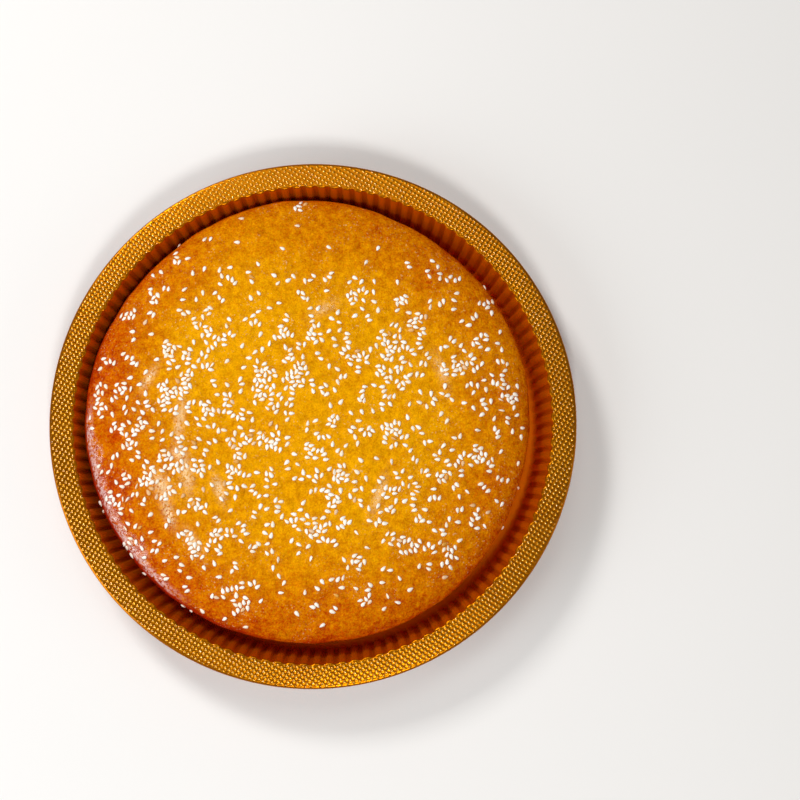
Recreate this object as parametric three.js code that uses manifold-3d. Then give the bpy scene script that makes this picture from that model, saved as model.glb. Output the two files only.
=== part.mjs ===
// A large round filled pastry cake, glazed and strewn with sesame, in the thin fluted gold tray
// that it is sold in. Millimetres, +Z up, the origin under the middle of the tray's floor.
import * as THREE from 'three';
import { mergeVertices } from 'three/addons/utils/BufferGeometryUtils.js';
import Module from 'manifold-3d';

// The tray: a flat floor, a wall that leans out in 120 flutes, and a flat rim with a skirt.
const FLUTES = 120;
const FLUTE_DEPTH = 1.3;
const TRAY_SHEET = 0.6;
const FLOOR_RADIUS = 114.5;
const FOOT_RADIUS = 117.8;
const FOOT_HEIGHT = 2.6;
const MOUTH_RADIUS = 123.2;
const RIM_RADIUS = 136;
const RIM_HEIGHT = 28;
const RIM_EDGE_DROP = 0.5;
const RIM_ROUNDING = 2.2;
const MOUTH_ROUNDING = 1;
const SKIRT_LENGTH = 3;
const MOUTH_FLUTE_SHARE = 0.8;

// The cake: a low dome over a rolled shoulder, widest at half its height, tucked in at the base.
const CAKE_RADIUS = 115.4;
const CAKE_PLACE = { x: -3.0, y: 1.8 };
const CAKE_BASE = TRAY_SHEET + 0.3;
const CAKE_WIDEST = 17;
const CAKE_TOP = 34;
const CAKE_TUCK = 9;
const DOME_POWER = 5;
const OUTLINE_WAVES = [
  { count: 3, height: 0.29, turn: -43 },
  { count: 4, height: 0.46, turn: 12 },
  { count: 5, height: 0.48, turn: 22 },
];
const TOP_WAVES = [
  { length: 96, height: 0.42, heading: 25, shift: 0.15 },
  { length: 67, height: 0.3, heading: 108, shift: 0.6 },
  { length: 49, height: 0.2, heading: 63, shift: 0.35 },
];

// The sesame: teardrops pressed into the glaze, fewer towards the near and the far edge.
const SEED_LENGTH = 3.3;
const SEED_WIDTH = 2.0;
const SEED_THICKNESS = 1.1;
const SEED_PROUD = 0.75;
const SEED_RIM_HEIGHT = 0.14;
const SEED_POINTEDNESS = 0.7;
const SEED_FULLNESS = 1.15;
const SEED_SIDES = 7;
const SEED_SPOTS = 228;
const SEED_FIELD = 0.955;
const SEED_BAND = 66;
const SEED_FADE = 46;
const SEED_THINNEST = 0.25;
const SEED_SIZES = { least: 0.92, spread: 0.16 };
const SEED_SCATTER = { out: 0.4, round: 0.12 };

// How finely the faces are cut.
const RING_SIDES = 120;
const CRUST_SIDES = 80;
const SHOULDER_RINGS = 9;
const TUCK_RINGS = 4;
const MIDDLE_RINGS = [0.13, 0.27, 0.42];
const SHOULDER_TURN = 75;
const MERGE_DISTANCE = 1e-4;

const degrees = THREE.MathUtils.degToRad;
const wasm = await Module();
wasm.setup();

// A closed geometry as a solid that can be joined to others.
function solidOf(geometry) {
  const bare = geometry.clone();
  bare.deleteAttribute('normal');
  bare.deleteAttribute('uv');
  const merged = mergeVertices(bare, MERGE_DISTANCE);
  return new wasm.Manifold(new wasm.Mesh({
    numProp: 3,
    vertProperties: new Float32Array(merged.attributes.position.array),
    triVerts: new Uint32Array(merged.index.array),
  }));
}

function geometryOf(solid) {
  const mesh = solid.getMesh();
  const geometry = new THREE.BufferGeometry();
  geometry.setAttribute('position', new THREE.BufferAttribute(mesh.vertProperties, 3));
  geometry.setIndex(new THREE.BufferAttribute(mesh.triVerts, 1));
  geometry.computeVertexNormals();
  return geometry;
}

// A closed shell of rings that runs from a point on its top, out and round, to a point below.
// Neighbouring rings have the same number of points, or one has twice as many as the other.
function ringShell(top, rings, bottom) {
  const points = [top, ...rings.flat(), bottom];
  const faces = [];
  const starts = [];
  let start = 1;
  for (const ring of rings) {
    starts.push(start);
    start += ring.length;
  }
  const at = (k, i) => starts[k] + (i % rings[k].length);
  const last = rings.length - 1;
  rings[0].forEach((_, i) => faces.push(0, at(0, i), at(0, i + 1)));
  for (let k = 0; k < last; k += 1) {
    const inner = rings[k].length;
    const outer = rings[k + 1].length;
    for (let i = 0; i < Math.min(inner, outer); i += 1) {
      if (inner === outer) {
        faces.push(at(k, i), at(k + 1, i), at(k + 1, i + 1));
        faces.push(at(k, i), at(k + 1, i + 1), at(k, i + 1));
      } else if (inner < outer) {
        const j = 2 * i;
        faces.push(at(k, i), at(k + 1, j), at(k + 1, j + 1));
        faces.push(at(k, i), at(k + 1, j + 1), at(k, i + 1));
        faces.push(at(k, i + 1), at(k + 1, j + 1), at(k + 1, j + 2));
      } else {
        const j = 2 * i;
        faces.push(at(k, j), at(k + 1, i), at(k, j + 1));
        faces.push(at(k + 1, i), at(k + 1, i + 1), at(k, j + 1));
        faces.push(at(k, j + 1), at(k + 1, i + 1), at(k, j + 2));
      }
    }
  }
  const end = points.length - 1;
  rings[last].forEach((_, i) => faces.push(at(last, i), end, at(last, i + 1)));
  const geometry = new THREE.BufferGeometry().setFromPoints(points);
  geometry.setIndex(faces);
  geometry.computeVertexNormals();
  return geometry;
}

function ring(sides, point) {
  return Array.from({ length: sides }, (_, i) => point((2 * Math.PI * i) / sides));
}

// ---- The tray ----

// A ring of the tray. share is how much of the flutes' depth it carries, from 0 to 1.
function trayRing(radius, height, share = 0) {
  const sides = share > 0 ? 2 * FLUTES : RING_SIDES;
  return ring(sides, (azimuth) => {
    const r = radius + (share * FLUTE_DEPTH * Math.cos(FLUTES * azimuth)) / 2;
    return new THREE.Vector3(r * Math.cos(azimuth), r * Math.sin(azimuth), height);
  });
}

function trayGeometry() {
  const sheet = TRAY_SHEET;
  const rimStart = MOUTH_RADIUS + MOUTH_ROUNDING;
  const rimFlat = RIM_RADIUS - RIM_ROUNDING;
  const rimEdge = RIM_HEIGHT - RIM_EDGE_DROP;
  const skirtTop = rimEdge - RIM_ROUNDING;
  const skirtEnd = rimEdge - SKIRT_LENGTH;
  const upperSide = [
    trayRing(FLOOR_RADIUS, sheet),
    trayRing(FOOT_RADIUS, FOOT_HEIGHT, 1),
    trayRing(MOUTH_RADIUS, RIM_HEIGHT - MOUTH_ROUNDING, 1),
    trayRing(rimStart, RIM_HEIGHT, MOUTH_FLUTE_SHARE),
    trayRing(rimFlat, rimEdge),
    trayRing(RIM_RADIUS, skirtTop),
    trayRing(RIM_RADIUS, skirtEnd),
  ];
  const underSide = [
    trayRing(RIM_RADIUS - sheet, skirtEnd),
    trayRing(RIM_RADIUS - sheet, skirtTop),
    trayRing(rimFlat, rimEdge - sheet),
    trayRing(rimStart + sheet, RIM_HEIGHT - sheet, MOUTH_FLUTE_SHARE),
    trayRing(MOUTH_RADIUS + sheet, RIM_HEIGHT - MOUTH_ROUNDING - sheet, 1),
    trayRing(FOOT_RADIUS + sheet, FOOT_HEIGHT - sheet / 3, 1),
    trayRing(FLOOR_RADIUS + sheet / 3, 0),
  ];
  const middle = new THREE.Vector3(0, 0, sheet);
  return ringShell(middle, [...upperSide, ...underSide], new THREE.Vector3(0, 0, 0));
}

// ---- The cake ----

// The cake's outline: a circle with a few low waves, as it left its mould and baked.
function outline(azimuth) {
  return OUTLINE_WAVES.reduce(
    (r, wave) => r + wave.height * Math.cos(wave.count * (azimuth - degrees(wave.turn))),
    CAKE_RADIUS,
  );
}

// Long low swells of the top, in millimetres, for a place measured from the cake's middle.
function swell(x, y) {
  return TOP_WAVES.reduce((sum, wave) => {
    const heading = degrees(wave.heading);
    const along = (x * Math.cos(heading) + y * Math.sin(heading)) / wave.length;
    return sum + wave.height * Math.sin(2 * Math.PI * (along + wave.shift));
  }, 0);
}

// The top at a share of the way out: a superellipse that is flat in the middle and rolls over
// at the shoulder. The swells die away towards the side.
function crustTop(azimuth, share) {
  const r = share * outline(azimuth);
  const x = r * Math.cos(azimuth);
  const y = r * Math.sin(azimuth);
  const level = Math.sqrt(1 - share ** DOME_POWER);
  const height = CAKE_WIDEST + level * (CAKE_TOP - CAKE_WIDEST + swell(x, y));
  return new THREE.Vector3(CAKE_PLACE.x + x, CAKE_PLACE.y + y, height);
}

// The side below the widest line: a quarter ellipse that tucks in to the flat base.
function crustSide(azimuth, turn) {
  const r = outline(azimuth) - CAKE_TUCK * (1 - Math.cos(turn));
  const height = CAKE_WIDEST - (CAKE_WIDEST - CAKE_BASE) * Math.sin(turn);
  return new THREE.Vector3(
    CAKE_PLACE.x + r * Math.cos(azimuth),
    CAKE_PLACE.y + r * Math.sin(azimuth),
    height,
  );
}

function crustGeometry() {
  const rings = [];
  MIDDLE_RINGS.forEach((share, k) => {
    const sides = k === 0 ? CRUST_SIDES / 4 : CRUST_SIDES / 2;
    rings.push(ring(sides, (azimuth) => crustTop(azimuth, share)));
  });
  for (let k = SHOULDER_RINGS; k >= 0; k -= 1) {
    const turn = (k / SHOULDER_RINGS) * degrees(SHOULDER_TURN);
    const share = Math.cos(turn) ** (2 / DOME_POWER);
    rings.push(ring(CRUST_SIDES, (azimuth) => crustTop(azimuth, share)));
  }
  for (let k = 1; k <= TUCK_RINGS; k += 1) {
    const turn = ((k / TUCK_RINGS) * Math.PI) / 2;
    rings.push(ring(CRUST_SIDES, (azimuth) => crustSide(azimuth, turn)));
  }
  const foot = new THREE.Vector3(CAKE_PLACE.x, CAKE_PLACE.y, CAKE_BASE);
  return ringShell(crustTop(0, 0), rings, foot);
}

// ---- The sesame ----

// A repeatable stream of numbers from 0 to 1.
function numbers(seed) {
  let state = seed;
  return () => {
    state = (state * 1664525 + 1013904223) % 4294967296;
    return state / 4294967296;
  };
}

// One seed, its point towards +X: a ring in the outline of a teardrop, just clear of the crust
// at height 0, drawn up to a crest and down to a root that holds in the crust.
function seedGeometry() {
  const rim = ring(SEED_SIDES, (turn) => {
    const along = (SEED_LENGTH / 2) * Math.cos(turn);
    const blunt = Math.sin(turn / 2) ** SEED_POINTEDNESS;
    const across = SEED_FULLNESS * (SEED_WIDTH / 2) * Math.sin(turn) * blunt;
    return new THREE.Vector3(along, across, SEED_RIM_HEIGHT);
  });
  const crest = new THREE.Vector3(-0.1 * SEED_LENGTH, 0, SEED_PROUD);
  const root = new THREE.Vector3(0, 0, SEED_PROUD - SEED_THICKNESS);
  return ringShell(crest, [rim], root);
}

// The share of the places that hold a seed: all of them in a broad band across the cake, and
// fewer and fewer beyond it.
function seedShare(y) {
  const past = Math.max(0, Math.abs(y) - SEED_BAND) / SEED_FADE;
  return Math.max(SEED_THINNEST, 1 - past);
}

// A seed's place: its own axes lie along the crust, round the cake, up the slope and outwards.
function seedPlace(azimuth, share) {
  const step = 0.01;
  const spot = crustTop(azimuth, share);
  const round = crustTop(azimuth + step, share).sub(spot).normalize();
  const inward = crustTop(azimuth, share - step).sub(spot).normalize();
  const up = new THREE.Vector3().crossVectors(round, inward).normalize();
  const across = new THREE.Vector3().crossVectors(up, round);
  return new THREE.Matrix4().makeBasis(round, across, up).setPosition(spot);
}

// The seeds stand on a sunflower spiral, so that they are spread evenly, each a little off its
// place and turned its own way.
function seedGeometries() {
  const next = numbers(7);
  const golden = Math.PI * (3 - Math.sqrt(5));
  const seeds = [];
  for (let i = 0; i < SEED_SPOTS; i += 1) {
    const order = i + 0.5 + SEED_SCATTER.out * (next() - 0.5);
    const share = SEED_FIELD * Math.sqrt(order / SEED_SPOTS);
    const azimuth = i * golden + (SEED_SCATTER.round * (next() - 0.5)) / share;
    const turn = new THREE.Matrix4().makeRotationZ(2 * Math.PI * next());
    const size = SEED_SIZES.least + SEED_SIZES.spread * next();
    const place = seedPlace(azimuth, share);
    const y = place.elements[13];
    if (next() > seedShare(y)) continue;
    seeds.push(seedGeometry().scale(size, size, size).applyMatrix4(place.multiply(turn)));
  }
  return seeds;
}

function cakeGeometry() {
  let cake = solidOf(crustGeometry());
  for (const seed of seedGeometries()) cake = cake.add(solidOf(seed));
  return geometryOf(cake);
}

// ---- The whole ----

const crustFinish = new THREE.MeshStandardMaterial({
  name: 'glazed_crust',
  color: 0xcf7a14,
  roughness: 0.3,
  metalness: 0,
});
const goldFinish = new THREE.MeshStandardMaterial({
  name: 'gold_sheet',
  color: 0xd3961f,
  roughness: 0.28,
  metalness: 0.85,
});

function named(name, geometry, material) {
  const mesh = new THREE.Mesh(geometry, material);
  mesh.name = name;
  return mesh;
}

const group = new THREE.Group();
group.name = 'filled_pastry_cake';
group.add(named('tray', trayGeometry(), goldFinish));
group.add(named('cake', cakeGeometry(), crustFinish));

export default group;
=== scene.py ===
"""A large glazed filled pastry cake, strewn with sesame, in the thin fluted gold tray it comes in.

Every size is in metres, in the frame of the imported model: +Z up, the origin under the middle of
the tray's floor. The cake's crust, its seeds and the tray are surfaces worked out with numpy.
"""

import logging
import math
from dataclasses import dataclass
from enum import Enum
from typing import Sequence

import bpy
import numpy as np
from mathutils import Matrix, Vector


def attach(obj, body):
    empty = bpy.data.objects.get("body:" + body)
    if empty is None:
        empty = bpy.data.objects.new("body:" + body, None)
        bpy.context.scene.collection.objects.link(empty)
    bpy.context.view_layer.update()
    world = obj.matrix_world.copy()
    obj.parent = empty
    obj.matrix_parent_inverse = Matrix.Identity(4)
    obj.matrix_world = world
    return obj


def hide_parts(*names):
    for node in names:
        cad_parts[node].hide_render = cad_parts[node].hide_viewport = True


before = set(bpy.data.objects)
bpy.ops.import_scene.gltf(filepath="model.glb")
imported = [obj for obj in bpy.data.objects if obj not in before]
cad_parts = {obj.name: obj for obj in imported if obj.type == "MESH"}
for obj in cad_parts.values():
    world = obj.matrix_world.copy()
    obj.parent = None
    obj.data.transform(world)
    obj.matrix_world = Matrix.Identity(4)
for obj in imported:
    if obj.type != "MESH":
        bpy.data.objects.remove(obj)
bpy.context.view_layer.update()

LOG = logging.getLogger("filled_pastry_cake")
MM = 0.001
TURN = 2 * math.pi
TINY = 1e-9

Array = np.ndarray
Shell = tuple[Array, Array, Array]
Draw = np.random.Generator
Colour = tuple[float, float, float, float]
Object = bpy.types.Object
Material = bpy.types.Material
Node = bpy.types.Node
Socket = bpy.types.NodeSocket
Feed = Socket | float | Sequence[float]


class Slot(Enum):
    """The finishes that the record names."""

    CRUST = "crust"
    SESAME = "sesame"
    GOLD = "gold_tray"


# ---- Meshes ----


def ring(sides: int) -> Array:
    """The azimuths of a ring of evenly spaced points, from 0 up to but not including a turn."""
    return np.arange(sides) * (TURN / sides)


def polar(radius: Array, azimuth: Array, height: Array) -> Array:
    """Points from polar coordinates: x = r cos a, y = r sin a, z = height, or one for all."""
    height = np.broadcast_to(height, azimuth.shape)
    return np.stack([radius * np.cos(azimuth), radius * np.sin(azimuth), height], axis=-1)


def bearing(points: Array) -> tuple[Array, Array]:
    """The azimuths of points and their distances from the vertical axis."""
    return np.arctan2(points[:, 1], points[:, 0]), np.hypot(points[:, 0], points[:, 1])


def headed(x: Array, y: Array, heading: float) -> tuple[Array, Array]:
    """Coordinates along and across a heading: x cos h + y sin h, and y cos h - x sin h."""
    cosine, sine = math.cos(heading), math.sin(heading)
    return x * cosine + y * sine, y * cosine - x * sine


def stitch(inner: Array, outer: Array) -> tuple[Array, Array]:
    """Faces between two rings, where one has a whole number of times the other's points.

    Equal rings get quads. Otherwise each point of the coarser ring is the tip of a fan of
    triangles over its half of the finer ring's points on each side, and one triangle closes the
    space between two fans.

    Args:
        inner: the vertex numbers of the first ring along the profile.
        outer: the vertex numbers of the next one.

    Returns:
        The quads and the triangles, facing out where the profile runs out over the top.
    """
    if len(inner) == len(outer):
        quads = np.stack([inner, outer, np.roll(outer, -1), np.roll(inner, -1)], axis=1)
        return quads, np.empty((0, 3), np.int32)
    flip = len(inner) > len(outer)
    coarse, fine = (outer, inner) if flip else (inner, outer)
    times = len(fine) // len(coarse)
    half = times // 2
    start = np.arange(len(coarse)) * times
    after = np.roll(coarse, -1)
    faces = []
    for step in range(times):
        here = fine[start + step]
        there = fine[(start + step + 1) % len(fine)]
        faces.append(np.stack([coarse if step < half else after, here, there], axis=1))
    faces.append(np.stack([coarse, fine[start + half], after], axis=1))
    triangles = np.concatenate(faces)
    if flip:
        triangles = triangles[:, ::-1]
    return np.empty((0, 4), np.int32), triangles


def numbered(rings: Sequence[Array], start: int) -> list[Array]:
    """The vertex numbers of rings that follow one another, an array for each, from start on."""
    ends = np.cumsum([start] + [len(points) for points in rings])
    return [np.arange(a, b, dtype=np.int32) for a, b in zip(ends[:-1], ends[1:])]


def ring_shell(top: Array, rings: Sequence[Array], bottom: Array) -> Shell:
    """A closed shell of rings, from a point on its top, out and round, to a point below.

    Args:
        top: the first point.
        rings: the rings along the profile, each an array of points.
        bottom: the last point.

    Returns:
        The vertices, the quads and the triangles.
    """
    vertices = np.concatenate([top[None], *rings, bottom[None]])
    numbers = numbered(rings, 1)
    first, last = numbers[0], numbers[-1]
    cap = np.stack([np.zeros_like(first), first, np.roll(first, -1)], axis=1)
    foot = np.stack([last, np.full_like(last, len(vertices) - 1), np.roll(last, -1)], axis=1)
    pairs = [stitch(a, b) for a, b in zip(numbers[:-1], numbers[1:])]
    quads = np.concatenate([quad for quad, _ in pairs])
    triangles = np.concatenate([cap, foot] + [triangle for _, triangle in pairs])
    return vertices, quads, triangles


def ring_loop(rings: Sequence[Array]) -> Shell:
    """A closed tube of rings, whose last ring is joined to its first.

    Args:
        rings: the rings round the profile, each an array of points.

    Returns:
        The vertices, the quads and the triangles.
    """
    numbers = numbered(rings, 0)
    pairs = [stitch(a, b) for a, b in zip(numbers, numbers[1:] + numbers[:1])]
    quads = np.concatenate([quad for quad, _ in pairs])
    return np.concatenate(rings), quads, np.concatenate([triangle for _, triangle in pairs])


def smooth_object(name: str, shell: Shell) -> Object:
    """A smooth-shaded object at the origin.

    Args:
        name: the piece's name.
        shell: its vertices, and the vertex numbers of its quads and of its triangles.

    Returns:
        The new object, linked to the scene.
    """
    vertices, quads, triangles = shell
    mesh = bpy.data.meshes.new(name)
    corners = np.concatenate([quads.ravel(), triangles.ravel()]).astype(np.int32)
    starts = np.concatenate([
        4 * np.arange(len(quads)),
        4 * len(quads) + 3 * np.arange(len(triangles)),
    ]).astype(np.int32)
    mesh.vertices.add(len(vertices))
    mesh.vertices.foreach_set("co", vertices.astype(np.float32).ravel())
    mesh.loops.add(len(corners))
    mesh.loops.foreach_set("vertex_index", corners)
    mesh.polygons.add(len(starts))
    mesh.polygons.foreach_set("loop_start", starts)
    mesh.polygons.foreach_set("use_smooth", np.ones(len(starts), bool))
    mesh.update(calc_edges=True)
    mesh.validate()
    made = bpy.data.objects.new(name, mesh)
    bpy.context.scene.collection.objects.link(made)
    return made


def paint(piece: Object, name: str, values: Array) -> None:
    """Stores a number or a vector for each vertex of a piece, for its material to read.

    Args:
        piece: the object.
        name: the attribute's name.
        values: one value, or one row of three, for each vertex.
    """
    kind, key = ("FLOAT", "value") if values.ndim == 1 else ("FLOAT_VECTOR", "vector")
    layer = piece.data.attributes.new(name, kind, "POINT")
    layer.data.foreach_set(key, values.astype(np.float32).ravel())


@dataclass(frozen=True)
class Fade:
    """A smooth rise from 0, at low and below it, to 1, at high and above it."""

    low: float
    high: float

    def at(self, value: Array | float) -> Array | float:
        """How far the rise has come: 3t^2 - 2t^3, where t runs from 0 at low to 1 at high."""
        t = np.clip((value - self.low) / (self.high - self.low), 0, 1)
        return t * t * (3 - 2 * t)


# ---- Materials ----


def srgb(red: int, green: int, blue: int) -> Colour:
    """A linear colour from screen values, by the usual sRGB curve.

    Args:
        red: the red value, 0 to 255.
        green: the green value.
        blue: the blue value.

    Returns:
        The linear colour, opaque.
    """
    linear = [
        c / 12.92 if c <= 0.04045 else ((c + 0.055) / 1.055) ** 2.4
        for c in (red / 255, green / 255, blue / 255)
    ]
    return (*linear, 1.0)


@dataclass(frozen=True)
class Lattice:
    """The square lattice of the rim's embossed dots.

    It has a pitch, a turn, a shift, and a dot's radius. The last two are in cells.
    """

    pitch: float = 2.188 * MM
    turn: float = math.radians(57.65)
    shift: tuple[float, float] = (0.05, 0.21)
    dot: float = 0.34

    def cells(self, points: Array) -> tuple[Array, Array]:
        """Places along and across the lattice, in cells, with whole numbers on the dots."""
        along, across = headed(points[:, 0], points[:, 1], self.turn)
        return along / self.pitch - self.shift[0], across / self.pitch - self.shift[1]


@dataclass(frozen=True)
class Grain:
    """One scale of noise in a finish: its size, its finer octaves and how far it swings."""

    size: float
    detail: float
    reach: float


@dataclass(frozen=True)
class Patches:
    """Noise that is cut into patches: 0 where it is below low, 1 where it is above high."""

    size: float
    detail: float
    low: float
    high: float


@dataclass(frozen=True)
class Relief:
    """One scale of bump: its size, its finer octaves, its depth and how much of it counts."""

    size: float
    detail: float
    depth: float
    strength: float


class Shader:
    """A Principled material, with short ways to add the nodes that feed it.

    A Mix node has sockets for every type of value, and those for colours go by their numbers.
    """

    MIX_INPUTS = (0, 6, 7)
    MIX_RESULT = 2

    def __init__(self, name: str) -> None:
        """Makes the material with its Principled shader and its object coordinates.

        Args:
            name: the material's name.
        """
        self.material = bpy.data.materials.new(name)
        self.material.use_nodes = True
        self.tree = self.material.node_tree
        self.place = self.node("TexCoord").outputs["Object"]

    def put(self, socket: Socket, value: Feed) -> None:
        """Links a socket to an input, or sets the input to a number or a colour.

        Args:
            socket: the input.
            value: what it is fed.
        """
        if isinstance(value, Socket):
            self.tree.links.new(value, socket)
        else:
            socket.default_value = value

    def feed(self, node: Node, **values: Feed) -> Node:
        """Feeds a node's inputs.

        Args:
            node: the node.
            values: what its inputs are fed, each under its name with _ for a space.

        Returns:
            The same node.
        """
        for name, value in values.items():
            self.put(node.inputs[name.replace("_", " ")], value)
        return node

    def node(self, kind: str, **values: Feed) -> Node:
        """Adds a node of a kind, such as Bump, and feeds its inputs."""
        return self.feed(self.tree.nodes.new("ShaderNode" + kind), **values)

    def set(self, **values: Feed) -> None:
        """Feeds the inputs of the Principled shader."""
        self.feed(self.tree.nodes["Principled BSDF"], **values)

    def noise(self, size: float, detail: float = 2.0, place: Socket | None = None) -> Socket:
        """Noise round 0.5 with features of a size, on object coordinates or another place."""
        place = place or self.place
        return self.node("TexNoise", Vector=place, Scale=1 / size, Detail=detail).outputs["Fac"]

    def pits(self, size: float) -> Socket:
        """Distance to the nearest of points scattered about size apart, in parts of size."""
        return self.node("TexVoronoi", Vector=self.place, Scale=1 / size).outputs["Distance"]

    def painted(self, name: str, vector: bool = False) -> Socket:
        """What was painted on the piece's vertices.

        Args:
            name: the attribute's name.
            vector: whether it is a vector, and not a number.

        Returns:
            The socket that holds it.
        """
        node = self.node("Attribute")
        node.attribute_name = name
        return node.outputs["Vector" if vector else "Fac"]

    def maths(self, kind: str, *values: Feed) -> Socket:
        """One step of arithmetic.

        Args:
            kind: the step, such as MULTIPLY or ADD.
            values: what it works on.

        Returns:
            The result.
        """
        node = self.node("Math")
        node.operation = kind
        for socket, value in zip(node.inputs, values):
            self.put(socket, value)
        return node.outputs["Value"]

    def domes(self, lattice: Lattice) -> Socket:
        """Round domes on a lattice: 1 - (distance / dot)^2 in each cell, and 0 between them.

        Args:
            lattice: the lattice, whose dot is the domes' radius in cells.

        Returns:
            The height, 0 to 1.
        """
        along, across = (0.5 - shift for shift in lattice.shift)
        mapping = self.node(
            "Mapping",
            Vector=self.place,
            Location=(along, across, 0),
            Rotation=(0, 0, -lattice.turn),
            Scale=(1 / lattice.pitch, 1 / lattice.pitch, 0),
        )
        split = self.node("SeparateXYZ", Vector=mapping.outputs["Vector"])
        squares = []
        for part in split.outputs[:2]:
            offset = self.maths("SUBTRACT", self.maths("FRACT", part), 0.5)
            squares.append(self.maths("MULTIPLY", offset, offset))
        distance = self.maths("ADD", *squares)
        dome = self.maths("MULTIPLY_ADD", distance, -1 / lattice.dot**2, 1)
        return self.maths("MAXIMUM", dome, 0)

    def around(self, value: Feed, middle: float, reach: float) -> Socket:
        """Turns noise round 0.5 into a number round middle: middle + (value - 0.5) reach."""
        return self.maths("MULTIPLY_ADD", value, reach, middle - reach / 2)

    def between(self, share: Feed, first: float, second: float) -> Socket:
        """A number from first, where the share is 0, to second, where it is 1."""
        return self.maths("MULTIPLY_ADD", share, second - first, first)

    def grain(self, grain: Grain, middle: float = 0.0) -> Socket:
        """Noise of one scale that swings round a middle value."""
        return self.around(self.noise(grain.size, grain.detail), middle, grain.reach)

    def span(self, value: Feed, low: float, high: float) -> Socket:
        """Stretches low to high over 0 to 1, clamped."""
        return self.node("MapRange", Value=value, From_Min=low, From_Max=high).outputs["Result"]

    def patches(self, patches: Patches) -> Socket:
        """Noise cut into patches, 0 or 1 with a soft edge."""
        return self.span(self.noise(patches.size, patches.detail), patches.low, patches.high)

    def ramp(self, value: Feed, stops: Sequence[tuple[float, Colour]]) -> Socket:
        """A colour for each value.

        Args:
            value: the socket that it reads.
            stops: pairs of a place from 0 to 1 and a colour.

        Returns:
            The colour socket.
        """
        node = self.node("ValToRGB", Fac=value)
        elements = node.color_ramp.elements
        while len(elements) < len(stops):
            elements.new(0.5)
        for element, (place, colour) in zip(elements, stops):
            element.position = place
            element.color = colour
        return node.outputs["Color"]

    def mix(self, share: Feed, first: Feed, second: Feed) -> Socket:
        """A mix of two colours.

        Args:
            share: the second colour's share, 0 to 1.
            first: the first colour.
            second: the second colour.

        Returns:
            The mixed colour.
        """
        node = self.node("Mix")
        node.data_type = "RGBA"
        for number, value in zip(self.MIX_INPUTS, (share, first, second)):
            self.put(node.inputs[number], value)
        return node.outputs[self.MIX_RESULT]

    def shade(self, colour: Feed, value: Feed) -> Socket:
        """A colour made lighter or darker, where a value of 1 leaves it as it is."""
        return self.node("HueSaturation", Color=colour, Value=value).outputs["Color"]

    def bump(self, height: Feed, depth: float, strength: float = 1.0, **over: Socket) -> Socket:
        """A normal bumped by a height of 0 to 1, which is depth high, over an earlier Normal."""
        node = self.node("Bump", Height=height, Distance=depth, Strength=strength, **over)
        return node.outputs["Normal"]

    def relief(self, relief: Relief, place: Socket | None = None, **over: Socket) -> Socket:
        """A normal bumped by noise of one scale, over an earlier Normal or on another place."""
        noise = self.noise(relief.size, relief.detail, place)
        return self.bump(noise, relief.depth, relief.strength, **over)


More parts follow.
